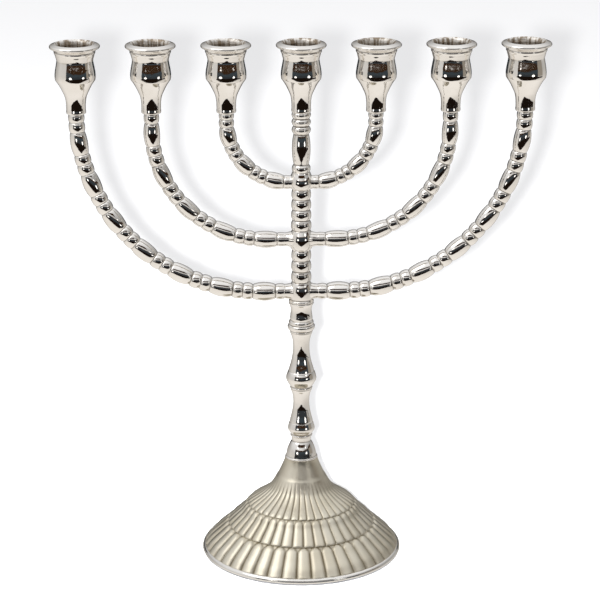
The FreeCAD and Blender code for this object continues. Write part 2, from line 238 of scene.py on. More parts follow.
def noise(tree, place, scale, detail=3.0, rough=0.55, stretch=None):
    """Noise about 0.5, with scale features to the metre, drawn out along an axis by stretch."""
    if stretch:
        mapping = tree.nodes.new("ShaderNodeMapping")
        mapping.inputs["Scale"].default_value = stretch
        tree.links.new(place, mapping.inputs["Vector"])
        place = mapping.outputs["Vector"]
    node = tree.nodes.new("ShaderNodeTexNoise")
    node.inputs["Scale"].default_value = scale
    node.inputs["Detail"].default_value = detail
    node.inputs["Roughness"].default_value = rough
    tree.links.new(place, node.inputs["Vector"])
    return node.outputs["Fac"]


def spread(tree, value, from_low, from_high, to_low, to_high):
    """The value mapped from one range to another, and kept inside it."""
    node = tree.nodes.new("ShaderNodeMapRange")
    node.inputs["From Min"].default_value = from_low
    node.inputs["From Max"].default_value = from_high
    node.inputs["To Min"].default_value = to_low
    node.inputs["To Max"].default_value = to_high
    tree.links.new(value, node.inputs["Value"])
    return node.outputs["Result"]


def mix(tree, share, one, two):
    """Colour between one and two; each is a colour or a socket."""
    node = tree.nodes.new("ShaderNodeMix")
    node.data_type = "RGBA"
    tree.links.new(share, node.inputs[0])
    for socket, colour in ((node.inputs[6], one), (node.inputs[7], two)):
        if isinstance(colour, tuple):
            socket.default_value = (*colour, 1)
        else:
            tree.links.new(colour, socket)
    return node.outputs[2]


def bump(tree, height, distance, strength=1.0, under=None):
    """The surface normal bumped by a height of so many metres, on top of an earlier bump."""
    node = tree.nodes.new("ShaderNodeBump")
    node.inputs["Distance"].default_value = distance
    node.inputs["Strength"].default_value = strength
    tree.links.new(height, node.inputs["Height"])
    if under is not None:
        tree.links.new(under, node.inputs["Normal"])
    return node.outputs["Normal"]


def mark_of(tree, name):
    """A number that the mesh carries at each vertex."""
    node = tree.nodes.new("ShaderNodeAttribute")
    node.attribute_name = name
    return node.outputs["Fac"]


def combined(tree, one, two, operation="ADD"):
    """Two sockets, or a socket and a number, through one sum."""
    node = tree.nodes.new("ShaderNodeMath")
    node.operation = operation
    for socket, value in zip(node.inputs, (one, two)):
        if isinstance(value, (int, float)):
            socket.default_value = value
        else:
            tree.links.new(value, socket)
    return node.outputs[0]


def polished_nickel():
    """Cast nickel, hand polished: a warm mirror with soft dents, hairlines and painted crease
    shade.

    The bores are rougher, and their colour carries painted reflection streaks."""
    bright, dulled = (0.90, 0.875, 0.84), (0.84, 0.81, 0.765)
    # the bores' painted reflection streaks run between these two colours
    streak_reflection_dark, streak_reflection_light = (0.36, 0.29, 0.22), (0.96, 0.93, 0.88)
    # colour of the painted shade that darkens the creases
    crease_shade_colour = (0.17, 0.14, 0.105)
    material, tree, shader, place = material_nodes("nickel_polished")
    shader.inputs["Metallic"].default_value = 1.0
    crease, bore = mark_of(tree, "crease"), mark_of(tree, "finish")
    smudge = noise(tree, place, 95, 4)
    hair = noise(tree, place, 2200, 2, 0.5, (1.0, 1.0, 0.12))
    reflection_streaks = noise(tree, place, 520, 2, 0.5, (1.0, 1.0, 0.02))
    colour = mix(tree, spread(tree, smudge, 0.35, 0.7, 0, 1), bright, dulled)
    # painted reflection streaks in the bores
    bored = mix(tree, spread(tree, reflection_streaks, 0.42, 0.58, 0, 1), streak_reflection_dark, streak_reflection_light)
    # painted shade: darker the deeper a point lies in a crease, and patchy
    crease_shade = spread(tree, combined(tree, crease, smudge, "MULTIPLY"), 0.12, 0.62, 0, 0.82)
    colour = mix(tree, crease_shade, mix(tree, bore, colour, bored), crease_shade_colour)
    tree.links.new(colour, shader.inputs["Base Color"])
    gloss = spread(tree, smudge, 0.4, 0.75, 0.045, 0.11)
    gloss = combined(tree, gloss, spread(tree, hair, 0.55, 0.8, 0, 0.06))
    gloss = combined(tree, gloss, spread(tree, crease, 0.1, 1, 0, 0.22))
    gloss = combined(tree, gloss, spread(tree, bore, 0, 1, 0, 0.3))
    tree.links.new(gloss, shader.inputs["Roughness"])
    dents = bump(tree, noise(tree, place, 170, 2), 0.00009)
    tree.links.new(bump(tree, hair, 0.0000012, 0.5, dents), shader.inputs["Normal"])
    return material


def satin_nickel():
    """The cast foot: grainy champagne satin, painted shade between its flutes, a polished rim."""
    pale, beige = (0.74, 0.695, 0.585), (0.66, 0.605, 0.485)
    # groove is the colour of the painted shade between the flutes
    polished, groove = (0.86, 0.84, 0.80), (0.34, 0.295, 0.21)
    material, tree, shader, place = material_nodes("nickel_satin")
    shader.inputs["Metallic"].default_value = 1.0
    # depth, the crease mark, sets painted shade and roughness; rim marks the polished rim
    depth, rim = mark_of(tree, "crease"), mark_of(tree, "finish")
    cloud = noise(tree, place, 60, 4)
    grain = noise(tree, place, 1500, 3, 0.6)
    crest = mix(tree, spread(tree, cloud, 0.35, 0.7, 0, 1), pale, beige)
    crest = mix(tree, rim, crest, polished)
    # painted shade between the flutes, a little patchy
    crease_shade = combined(tree, depth, spread(tree, cloud, 0.3, 0.7, 0.8, 1.15), "MULTIPLY")
    crease_shade = spread(tree, crease_shade, 0.04, 0.9, 0, 0.8)
    tree.links.new(mix(tree, crease_shade, crest, groove), shader.inputs["Base Color"])
    gloss = spread(tree, grain, 0.3, 0.7, 0.29, 0.37)
    gloss = combined(tree, gloss, spread(tree, depth, 0, 1, 0, 0.2))
    gloss = combined(tree, gloss, spread(tree, rim, 0, 1, 0, 0.22), "SUBTRACT")
    tree.links.new(gloss, shader.inputs["Roughness"])
    cast = bump(tree, noise(tree, place, 260, 3), 0.00006)
    tree.links.new(bump(tree, grain, 0.000006, 0.8, cast), shader.inputs["Normal"])
    return material


def zinc_steel():
    """Bright zinc on the rod, nut, washer and studs, with turning marks."""
    material, tree, shader, place = material_nodes("steel_zinc")
    shader.inputs["Metallic"].default_value = 1.0
    spangle = noise(tree, place, 700, 3)
    marks = noise(tree, place, 900, 2, 0.5, (0.1, 0.1, 3.0))
    shade = mix(tree, spread(tree, spangle, 0.3, 0.7, 0, 1), (0.60, 0.61, 0.62), (0.44, 0.45, 0.47))
    tree.links.new(shade, shader.inputs["Base Color"])
    tree.links.new(spread(tree, marks, 0.3, 0.7, 0.25, 0.42), shader.inputs["Roughness"])
    tree.links.new(bump(tree, marks, 0.00003, 0.7), shader.inputs["Normal"])
    return material


def felt():
    """Charcoal felt: matted fibres with a soft sheen."""
    material, tree, shader, place = material_nodes("felt_charcoal")
    fibres = noise(tree, place, 2600, 5, 0.7)
    patches = noise(tree, place, 180, 3)
    shade = mix(tree, spread(tree, combined(tree, fibres, patches, "MULTIPLY"), 0.12, 0.4, 0, 1),
                (0.035, 0.036, 0.04), (0.11, 0.11, 0.115))
    tree.links.new(shade, shader.inputs["Base Color"])
    shader.inputs["Roughness"].default_value = 0.95
    shader.inputs["Sheen Weight"].default_value = 0.3
    shader.inputs["Sheen Roughness"].default_value = 0.6
    tree.links.new(bump(tree, fibres, 0.0003, 0.9), shader.inputs["Normal"])
    return material


NICKEL = polished_nickel()
SATIN = satin_nickel()
ZINC = zinc_steel()
FELT = felt()


# ---------------------------------------------------------------- stem

STEM_PROFILES = {
    "stem_bell": [
        (ROD_BORE, 0, 0.1), (9.2, 0, 0.12), (9.38, 0.45), (9.2, 1.0, 0.1), (8.85, 1.2, 0.1),
        (8.6, 2.4), (8.2, 4.3), (7.65, 6.1), (6.95, 7.8), (6.3, 9.1), (5.75, 9.95, 0.15),
        (5.5, 10.3, 0.1), (5.52, 11.3), (5.75, 12.9, 0.1), (ROD_BORE, 12.9, 0.1),
    ],
    "lower_baluster": [
        (ROD_BORE, 0, 0.1), (5.8, 0, 0.1), (6.25, 0.35), (6.38, 0.9), (6.1, 1.5, 0.12),
        (6.15, 1.75, 0.1), (6.6, 2.6), (7.35, 3.7), (7.74, 4.7), (7.78, 5.4), (7.5, 6.6),
        (7.15, 7.7), (6.9, 8.5, 0.12), (6.68, 8.85, 0.12), (6.6, 9.6), (6.25, 11.0), (5.8, 12.7),
        (5.35, 14.8), (4.9, 17.2), (4.65, 19.6), (4.6, 21.8), (4.75, 24.0), (5.2, 26.2),
        (5.9, 28.1), (6.2, 28.9, 0.15), (ROD_BORE, 28.9, 0.1),
    ],
    "upper_baluster": [
        (ROD_BORE, 0, 0.1), (5.85, 0, 0.1), (6.3, 0.35), (6.42, 0.95), (6.15, 1.6, 0.12),
        (6.3, 1.85, 0.1), (6.95, 2.7), (7.75, 4.0), (8.45, 5.4), (8.68, 6.5), (8.6, 7.5),
        (8.3, 8.7), (7.95, 9.7), (7.62, 10.5, 0.12), (7.32, 10.9, 0.12), (7.15, 11.7), (6.7, 13.3),
        (6.0, 15.6), (5.45, 18.0), (5.0, 20.6), (4.75, 23.2), (4.7, 25.6), (4.85, 28.4),
        (5.25, 30.6), (5.9, 32.7), (6.3, 33.7), (6.35, 34.2, 0.12), (ROD_BORE, 34.2, 0.1),
    ],
    "stem_collar": [
        (ROD_BORE, 0, 0.1), (6.15, 0, 0.1), (6.5, 0.3), (6.55, 0.7), (6.4, 1.05, 0.1),
        (6.85, 1.35, 0.1), (7.45, 2.0), (7.75, 3.0), (7.7, 3.9), (7.35, 4.45, 0.12),
        (6.75, 4.65, 0.1), (6.95, 5.0), (7.08, 5.6), (6.95, 6.4), (6.65, 6.95, 0.12),
        (6.2, 7.2, 0.1), (6.35, 7.7), (6.4, 8.6), (6.15, 10.4), (5.95, 12.4), (6.05, 14.2),
        (6.45, 15.8), (7.0, 16.9), (7.1, 17.4), (6.95, 17.7, 0.15), (ROD_BORE, 17.7, 0.1),
    ],
    "centre_stem_top": [
        (ROD_BORE, 0, 0.1), (4.6, 0, 0.1), (5.05, 0.8), (5.2, 1.9), (5.05, 3.1), (4.5, 4.0, 0.15),
        (4.3, 4.4, 0.1), (4.35, 4.9), (4.75, 7.2), (5.1, 10.2), (5.22, 13.2), (5.1, 16.4),
        (4.75, 19.4), (4.35, 21.4), (4.2, 21.8, 0.15), (4.85, 22.6), (5.35, 24.1), (4.85, 25.7),
        (4.25, 26.35, 0.15), (4.85, 27.1), (5.4, 28.6), (4.9, 30.0), (4.35, 30.6, 0.15),
        (4.95, 31.3), (5.4, 32.6), (5.2, 33.7), (4.9, 34.2, 0.15), (STUD_BORE, 34.2, 0.1),
        (STUD_BORE, 25.2, 0), (0, 25.2, 0), (0, 15.0, 0), (ROD_BORE, 15.0, 0),
    ],
}


# (how far along a bead, share of its full swell)
DOME = (
    (0.08, 0.5), (0.2, 0.82), (0.36, 0.98), (0.5, 1.0), (0.66, 0.92), (0.82, 0.66), (0.93, 0.32),
)


def beaded(count, tall, crest, growth, groove):
    """Profile of a row of domed beads, a little wider towards the bottom."""
    bead = tall / count
    profile = [(ROD_BORE, 0, 0.1)]
    for i in range(count):
        foot = bead * i
        top = crest + growth * (count - 1 - i) / count
        profile.append((groove, foot, 0.12))
        profile += [(groove + (top - groove) * swell, foot + bead * part) for part, swell in DOME]
    return profile + [(groove, tall, 0.12), (ROD_BORE, tall, 0.1)]


STEM_PROFILES["lower_spacer"] = beaded(3, 19.1, 5.6, 0.2, 4.75)
STEM_PROFILES["upper_spacer"] = beaded(4, 24.1, 5.5, 0.35, 4.7)
for node, profile in STEM_PROFILES.items():
    lathe(node + "_visual", profile, node, "stand", NICKEL)


# ---------------------------------------------------------------- cups

CUP_PROFILE = [
    (STUD_BORE, 0, 0.1), (5.1, 0, 0.12), (5.42, 0.35), (5.5, 1.0), (5.42, 2.2), (5.42, 4.0),
    (5.5, 6.2), (5.75, 8.2), (6.15, 9.9), (6.85, 11.6), (7.65, 13.3), (8.6, 15.2), (9.6, 16.9),
    (10.35, 18.0), (10.75, 18.55, 0.2), (11.05, 19.0), (11.22, 19.9), (11.3, 21.3), (11.2, 23.0),
    (10.95, 24.8), (10.62, 26.6), (10.36, 28.0), (10.16, 29.2), (10.1, 29.8), (10.16, 30.3),
    (10.38, 31.2), (10.7, 32.3), (10.95, 33.3), (11.3, 34.0, 0.12), (11.42, 34.35), (11.42, 34.75),
    (11.3, 35.1, 0.12), (11.7, 35.55), (12.4, 36.2), (13.15, 36.75, 0.12), (13.6, 36.9),
    (13.93, 37.3), (13.98, 37.75), (13.82, 38.15), (13.5, 38.5, 0.12), (11.35, 39.3, 0.12),
    (11.05, 39.38, 0.1), (10.3, 38.8), (9.8, 37.9), (9.6, 36.8, 0.1), (9.6, 19.4), (9.3, 18.9, 0.1),
    (0, 18.86, 0), (0, 10.0, 0), (STUD_BORE, 10.0, 0),
]

CUP_TURNS = 112

for number in range(1, 8):
    node = f"candle_cup_{number}"
    lathe(f"{node}_visual", CUP_PROFILE, node, f"cup_{number}", NICKEL,
          turns=CUP_TURNS, bored=True)


# ---------------------------------------------------------------- branches

RING = 40             # points round an arm
HUB_TURNS = 96
JOIN_RINGS = 8        # rings of the neck that joins an arm to its hub
NECK_SWELL = 0.1      # how much fatter than a groove that neck is
FLARE_CURVE = 1.8     # how suddenly the neck widens into the hub
CREASE_WIDTH = 2.4    # the swell, as one over this, at which a groove's painted shade ends
SEAT_EDGE = 0.15      # rounding of an arm's end, under its cup
STUD_DEPTH = 9.0      # of the stud's hole in the arm's end

# (how far along an olive or bead, share of its full swell)
OLIVE = (
    (0.03, 0.26), (0.08, 0.45), (0.16, 0.66), (0.26, 0.83), (0.38, 0.95), (0.5, 1.0), (0.62, 0.95),
    (0.74, 0.83), (0.84, 0.66), (0.92, 0.45), (0.97, 0.26), (1.0, 0.0),
)
BEAD = (
    (0.05, 0.36), (0.12, 0.6), (0.22, 0.8), (0.35, 0.95), (0.5, 1.0), (0.65, 0.95), (0.78, 0.8),
    (0.88, 0.6), (0.95, 0.36), (1.0, 0.0),
)


def arm_point(along, run, bend, rise):
    """Centre and direction of an arm at a distance along it: a run, a quarter bend and a rise."""
    arc = bend * math.pi / 2
    if along <= run:
        return (along, rise), (1, 0)
    if along >= run + arc:
        return (run + bend, rise + bend + along - run - arc), (0, 1)
    turn = (along - run) / bend
    centre = (run + bend * math.sin(turn), rise + bend - bend * math.cos(turn))
    return centre, (math.cos(turn), math.sin(turn))


def arm_rings(spec, reach, seat, top):
    """Rings (centre, direction, radius, crease) from inside the hub to the cup's stud hole."""
    run = reach - spec["bend"]
    length = run + spec["bend"] * math.pi / 2 + top - seat - spec["rise"] - spec["bend"]
    kinds = ["bead"]
    for olive in range(spec["olives"]):
        kinds += ["olive"] + ["bead"] * (2 if olive < spec["olives"] - 1 else spec["end_beads"])
    sizes = {"bead": spec["bead"], "olive": spec["olive"]}
    starts = [spec["collar"], spec["lead"]]
    for kind in kinds[1:]:
        starts.append(starts[-1] + sizes[kind])
    kinds.append("bead")
    starts.append(length)

    def flared(along, radius):
        """The trumpet that joins the arm to its hub."""
        near = max(0.0, (spec["flare_to"] - along) / (spec["flare_to"] - spec["start"]))
        return radius + spec["flare"] * near ** FLARE_CURVE

    rings = []
    for along in np.linspace(spec["start"], spec["collar"], JOIN_RINGS):
        rings.append((along, flared(along, spec["groove"] + NECK_SWELL), 0.0))
    for kind, first, last in zip(kinds, starts, starts[1:]):
        share = (first + last) / 2 / length
        crest = spec[kind + "_crest"][0] * (1 - share) + spec[kind + "_crest"][1] * share
        if first == spec["collar"]:
            crest = spec["lead_crest"]
        for part, swell in OLIVE if kind == "olive" else BEAD:
            along = first + (last - first) * part
            radius = spec["groove"] + (crest - spec["groove"]) * swell
            rings.append((along, flared(along, radius), max(0.0, 1 - swell * CREASE_WIDTH)))
    made = []
    for along, radius, crease in rings:
        centre, heading = arm_point(along, run, spec["bend"], spec["rise"] + seat)
        made.append((centre, heading, radius, crease))
    end = made[-1][2]
    made[-1] = ((reach, top), (0, 1), end - SEAT_EDGE, 0.0)
    # painted shade at the arm's end under its cup, and more in the stud's hole
    made.insert(-1, ((reach, top - SEAT_EDGE), (0, 1), end, 0.3))
    for depth in (0.0, STUD_DEPTH):
        made.append(((reach, top - depth), (0, 1), STUD_BORE, 0.6))
    return made


def arm_mesh(rings, side):
    """Points, faces and marks of one arm; side is 1 for the right and -1 for the left."""
    points, rows, painted_shade = [], [], []
    turns = np.linspace(0, 2 * math.pi, RING, endpoint=False)
    for (x, z), (hx, hz), radius, crease in rings:
        rows.append(list(range(len(points), len(points) + RING)))
        for turn in turns:
            outward = radius * math.cos(turn)
            points.append((side * (x + hz * outward), radius * math.sin(turn), z - hx * outward))
        painted_shade += [crease] * RING
    poles = []
    for (x, z), _, _, _ in (rings[0], rings[-1]):
        poles.append([len(points)] * RING)
        points.append((side * x, 0, z))
        painted_shade.append(0)
    rows = [poles[0], *rows, poles[1]]
    return points, bands(rows, closed=False), {"crease": painted_shade, "finish": [0.0] * len(points)}


def joined(name, shells, body, node, material):
    """Several closed shells united into one closed piece by an exact boolean.

    The boolean loses the marks, so each vertex takes its crease from the nearest shell vertex."""
    pieces = []
    known = kdtree.KDTree(sum(len(points) for points, _, _ in shells))
    painted_shade = []
    for i, (points, faces, marks) in enumerate(shells):
        pieces.append(make_mesh(f"{name}_shell_{i}", points, faces, None, [], material, {}))
        for point, crease in zip(points, marks["crease"]):
            known.insert(Vector(point) * MM, len(painted_shade))
            painted_shade.append(crease)
    known.balance()
    whole = pieces[0]
    for other in pieces[1:]:
        union = whole.modifiers.new("union", "BOOLEAN")
        union.operation = "UNION"
        union.solver = "EXACT"
        union.object = other
    united = whole.evaluated_get(bpy.context.evaluated_depsgraph_get())
    mesh = bpy.data.meshes.new_from_object(united)
    for piece in pieces:
        old = piece.data
        bpy.data.objects.remove(piece)
        bpy.data.meshes.remove(old)
    mesh.name = name
    crease = mesh.attributes.new("crease", "FLOAT", "POINT")
    for vertex, value in zip(mesh.vertices, crease.data):
        value.value = painted_shade[known.find(vertex.co)[1]]
    mesh.shade_smooth()
    mesh.set_sharp_from_angle(angle=math.radians(SHARP_ANGLE))
    branch = bpy.data.objects.new(name, mesh)
    bpy.context.scene.collection.objects.link(branch)
    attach(branch, body)
    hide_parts(node)


# bend is the radius of an arm's quarter bend, and rise the height of its run over the hub's seat.
# The arm's mesh begins at start, and its first bead at collar, with the crest lead_crest. From lead
# on come the olives, a pair of beads after each but the last, which has end_beads; olive and bead
# are their lengths, the crests their radii near the hub and near the cup, and groove the radius
# between them. flare widens the arm towards the hub, from flare_to inwards.
BRANCHES = {
    "outer_branch": dict(
        cup="candle_cup_7", below="stem_collar", above="lower_spacer", bend=103.0, rise=6.3,
        olives=7, olive=13.0, bead=5.7, end_beads=1, lead=14.5, collar=9.3,
        olive_crest=(5.4, 4.85), bead_crest=(4.9, 4.55), lead_crest=4.5,
        groove=3.85, start=4.6, flare=1.1, flare_to=11.0,
        hub=[
            (6.35, 0, 0.12), (6.95, 0.3), (7.1, 0.8), (6.95, 1.35), (6.45, 1.7, 0.15),
            (6.35, 2.0, 0.1), (6.6, 3.2), (6.75, 5.4), (6.65, 7.6), (6.25, 9.6), (5.7, 11.2),
            (5.35, 12.0, 0.15),
        ],
    ),
    "middle_branch": dict(
        cup="candle_cup_6", below="lower_spacer", above="upper_spacer", bend=64.2, rise=5.8,
        olives=5, olive=13.0, bead=5.6, end_beads=0, lead=13.5, collar=9.0,
        olive_crest=(4.85, 4.6), bead_crest=(4.4, 4.3), lead_crest=4.0,
        groove=3.6, start=4.4, flare=1.3, flare_to=10.5,
        hub=[
            (5.4, 0, 0.15), (6.0, 1.0), (6.45, 2.6), (6.65, 4.6), (6.6, 6.4), (6.25, 8.4),
            (5.7, 10.2), (5.35, 11.2, 0.15),
        ],
    ),
    "inner_branch": dict(
        cup="candle_cup_5", below="upper_spacer", above="centre_stem_top", bend=34.2, rise=3.7,
        olives=3, olive=10.5, bead=4.4, end_beads=1, lead=9.8, collar=6.9,
        olive_crest=(4.7, 4.6), bead_crest=(4.3, 4.25), lead_crest=3.9,
        groove=3.55, start=4.2, flare=0.5, flare_to=8.0,
        hub=[
            (5.4, 0, 0.15), (6.0, 0.7), (6.45, 2.0), (6.6, 3.6), (6.4, 5.4), (5.85, 7.4),
            (5.3, 8.8), (5.05, 9.7, 0.15),
        ],
    ),
}
TURNING_GAP = 0.02    # over and under each hub, so that the branch can turn

for name, spec in BRANCHES.items():
    seat = high(spec["below"]) + TURNING_GAP
    tall = low(spec["above"]) - TURNING_GAP - seat
    hub = outlined([(ROD_BORE, 0, 0.1), *spec["hub"], (ROD_BORE, spec["hub"][-1][1], 0.1)])
    hub[:, 1] *= tall / hub[:, 1].max()
    rings = arm_rings(spec, across(spec["cup"]), seat, high(name))
    shells = [turned(hub, HUB_TURNS, seat), arm_mesh(rings, 1), arm_mesh(rings, -1)]
    joined(f"{name}_visual", shells, name, name, NICKEL)


# ---------------------------------------------------------------- foot

FLUTES = 40
FOOT_SHARP_ANGLE = 50
FLUTE_STEPS = 16      # points across a flute
FOOT_TURNS = FLUTES * FLUTE_STEPS
HEAD_TUCK = 0.8       # how much of a flute's rounded head the ledge over it hides
FLUTE_DEPTH = 0.33    # of half a flute's width
LEDGE_ROWS = (0.0, 0.8, 0.96)    # share of a flute's height in the first rows over a ledge
LEDGE_SHADE = 0.25     # share of the painted shade in those rows
HEAD_SHADE = 0.45      # share of the painted shade at a flute's rounded head
ROW_STEP = 0.62       # between rows of the flutes
DEPTH_FADE = 9.0      # length over which the top tier's flutes run out into the neck
# length over which the painted shade in the top tier's grooves runs out towards the neck
SHADE_FADE = 7.0
RIM = (
    (56.6, 1.2), (57.2, 1.3), (57.38, 1.7), (57.36, 2.1), (57.2, 2.6), (56.9, 3.1), (56.5, 3.5),
    (56.1, 3.75),
)
# (crest line from the foot of the flutes to their heads, share of a pitch that they are shifted by)
TIERS = (
    ([
        (56.15, 3.75), (55.35, 4.7), (52.75, 7.9), (50.3, 10.2), (47.0, 13.1), (44.3, 15.5),
        (43.0, 16.6),
    ], 0.0),
    ([
        (42.35, 17.35), (41.3, 18.6), (39.5, 20.3), (36.6, 23.0), (34.4, 25.1), (32.9, 27.0),
        (31.9, 28.2),
    ], 0.5),
    ([
        (30.9, 29.2), (29.9, 30.2), (27.2, 32.0), (23.9, 34.1), (20.8, 36.4), (18.3, 38.6),
        (16.8, 40.7), (15.4, 43.1), (14.3, 45.2),
    ], 0.0),
)
NECK = (
    (14.3, 45.2), (13.2, 46.9), (12.2, 49.0), (11.2, 51.2), (10.3, 53.3), (9.7, 55.0), (9.35, 56.5),
)
UNDERSIDE = (
    (ROD_BORE, 56.5), (ROD_BORE, 51.5), (8.0, 51.5), (14.0, 42.0), (24.0, 31.0), (31.0, 25.5),
    (38.5, 17.0), (46.0, 9.0), (52.6, 3.4), (54.6, 1.2),
)


def lobe(across_flute, distance, half, fading):
    """Height of a flute, 0 to 1: a rounded rib with a narrow groove each side and a rounded head.

    across_flute runs from -1 to 1 between the grooves; distance is what is left up to the head."""
    room = half
    if distance < half and not fading:
        room = math.sqrt(max(0.0, half ** 2 - (half - distance) ** 2))
    off = np.abs(across_flute) * half
    if room < ON_AXIS:
        return np.zeros_like(off)
    share = np.clip(off / room, 0, 1)
    return (1 - share ** 2.5) ** 0.7 * min(1.0, room / half) ** 0.45


def foot_rows():
    """Rows of the foot, each [radii, heights, painted crease shade, polish] round the whole turn.

    They run from the rim's lower edge over the tiers and the neck and back down the underside."""
    turns = np.arange(FOOT_TURNS) / FLUTE_STEPS
    rows = []

    def plain(radius, height, painted_shade=0.0, polish=0.0):
        rows.append([np.full(FOOT_TURNS, value) for value in (radius, height, painted_shade, polish)])

    def on_line(distance):
        return np.array([np.interp(distance, along, line[:, k]) for k in range(2)])

    for radius, height in RIM:
        plain(radius, height, polish=1.0)
    # the step under the flutes' feet, with painted shade
    plain(55.6, 3.85, painted_shade=0.5)
    for tier, (crest_line, shift) in enumerate(TIERS):
        line = smooth(crest_line, ROW_STEP)
        along = np.concatenate([[0], np.cumsum(np.linalg.norm(np.diff(line, axis=0), axis=1))])
        rising = np.arange(1.2, along[-1], ROW_STEP)
        stations = np.concatenate([[0, 0.0, 0.22, 0.6], rising, [along[-1]]])
        fading = tier == len(TIERS) - 1
        for number, distance in enumerate(stations):
            point = on_line(distance)
            ahead, behind = on_line(distance + 0.3), on_line(distance - 0.3)
            heading = (ahead - behind) / np.linalg.norm(ahead - behind)
            normal = np.array([heading[1], -heading[0]])
            half = math.pi * point[0] / FLUTES
            depth = FLUTE_DEPTH * half
            left = along[-1] - distance + (0.0 if fading else HEAD_TUCK)
            if fading:
                depth *= min(1.0, left / DEPTH_FADE) ** 0.8
            height = lobe((turns + shift) % 1.0 * 2 - 1, left, half, fading)
            over_ledge = number < len(LEDGE_ROWS)
            if over_ledge:
                height = height * LEDGE_ROWS[number]
            drop = depth * (1 - height)
            painted_shade = (1 - height) ** 1.3 * (LEDGE_SHADE if over_ledge else 1.0)
            if fading:
                painted_shade = painted_shade * min(1.0, left / SHADE_FADE)
            elif left < half:
                painted_shade = painted_shade * (HEAD_SHADE + (1 - HEAD_SHADE) * left / half)
            radii, heights = (point[k] - normal[k] * drop for k in range(2))
            rows.append([radii, heights, painted_shade, np.zeros(FOOT_TURNS)])
    for radius, height in smooth(NECK, 0.6)[1:]:
        plain(radius, height)
    # the underside, with painted shade
    for radius, height in UNDERSIDE:
        plain(radius, height, painted_shade=0.4)
    return rows


def make_foot():
    """The foot: its rows turned so that the front of the object is at the middle of a flute."""
    flutes_along = np.arange(FOOT_TURNS) / FLUTE_STEPS - 0.5
    angles = -math.pi / 2 + flutes_along * 2 * math.pi / FLUTES
    points, rings, marks = [], [], {"crease": [], "finish": []}
    for radii, heights, crease, polish in foot_rows():
        rings.append(list(range(len(points), len(points) + FOOT_TURNS)))
        points += list(zip(radii * np.cos(angles), radii * np.sin(angles), heights))
        marks["crease"] += list(crease)
        marks["finish"] += list(polish)
    make_mesh("base_shell_visual", points, bands(rings, closed=True), "stand", ["base_shell"],
              SATIN, marks, sharp=FOOT_SHARP_ANGLE)


make_foot()


# ---------------------------------------------------------------- felt and fasteners

FELT_TURNS = 160
FELT_PROFILE = [
    (0, 0, 0), (56.4, 0, 0.15), (56.75, 0.15), (56.95, 0.5), (56.95, 0.85), (56.8, 1.2, 0.1),
    (0, 1.2, 0),
]
FASTENERS = (
    "tie_washer", "tie_nut", "tie_rod", "outer_branch_studs", "middle_branch_studs",
    "inner_branch_studs", "centre_stud",
)

lathe("base_felt_visual", FELT_PROFILE, "base_felt", "stand", FELT, turns=FELT_TURNS)
for node in FASTENERS:
    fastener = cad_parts[node]
    fastener.data.materials.clear()
    fastener.data.materials.append(ZINC)


# ---------------------------------------------------------------- studio

PAPER_GLOW = 0.10     # light of its own that keeps the paper floor white away from the lamps


def flat_material(name, colour, glowing=False):
    """Matt paper, or an even tone that no lamp changes for a card that only reflections show."""
    material, tree, shader, place = material_nodes(name)
    patch = noise(tree, place, 9, 3)
    shade = mix(tree, patch, colour, tuple(c * 0.985 for c in colour))
    shader.inputs["Roughness"].default_value = 1.0
    shader.inputs["Specular IOR Level"].default_value = 0.0
    if glowing:
        shader.inputs["Base Color"].default_value = (0, 0, 0, 1)
        tree.links.new(shade, shader.inputs["Emission Color"])
        shader.inputs["Emission Strength"].default_value = 1.0
    else:
        tree.links.new(shade, shader.inputs["Base Color"])
        shader.inputs["Emission Color"].default_value = (1, 1, 1, 1)
        shader.inputs["Emission Strength"].default_value = PAPER_GLOW
    return material


def card(name, corners, material, reflection_only=True):
    """A flat studio card. A reflection card shows only as a reflection in the metal."""
    mesh = bpy.data.meshes.new(name)
    mesh.from_pydata(corners, [], [tuple(range(len(corners)))])
    mesh.materials.append(material)
    made = bpy.data.objects.new(name, mesh)
    bpy.context.scene.collection.objects.link(made)
    if reflection_only:
        made.visible_camera = False
        made.visible_diffuse = False
        made.visible_shadow = False
        made.visible_transmission = False
        made.visible_volume_scatter = False
    return made


def lamp(name, kind, place, power, colour):
    """A lamp of so many watts; the camera doesn't see it."""
    light = bpy.data.lights.new(name, kind)
    light.energy = power
    light.color = colour
    holder = bpy.data.objects.new(name, light)
    holder.location = place
    holder.visible_camera = False
    bpy.context.scene.collection.objects.link(holder)
    return holder


def area_light(name, place, target, size, power, colour):
    """An oval soft light that faces its target."""
    holder = lamp(name, "AREA", place, power, colour)
    holder.data.shape = "ELLIPSE"
    holder.data.size, holder.data.size_y = size
    aim = Vector(target) - Vector(place)
    holder.rotation_euler = aim.to_track_quat("-Z", "Y").to_euler()


floor = card("floor", [(-5, -5, 0), (5, -5, 0), (5, 5, 0), (-5, 5, 0)],
             flat_material("paper_white", (0.83, 0.83, 0.835)), reflection_only=False)
floor.visible_glossy = False


def facing(azimuth, distance, height):
    """A point of the studio at an azimuth from the front, in degrees towards the right."""
    turn = math.radians(azimuth)
    return (distance * math.sin(turn), -distance * math.cos(turn), height)


CARD_WIDTH = 12       # degrees of azimuth, about


def curved_card(name, first, last, distance, bottom, top, material):
    """A row of upright reflection cards round the object, from one azimuth to another."""
    edges = np.linspace(first, last, max(2, round(abs(last - first) / CARD_WIDTH)))
    for i, (one, two) in enumerate(zip(edges, edges[1:])):
        corners = [
            facing(one, distance, bottom), facing(two, distance, bottom),
            facing(two, distance, top), facing(one, distance, top),
        ]
        card(f"{name}_{i}", corners, material)


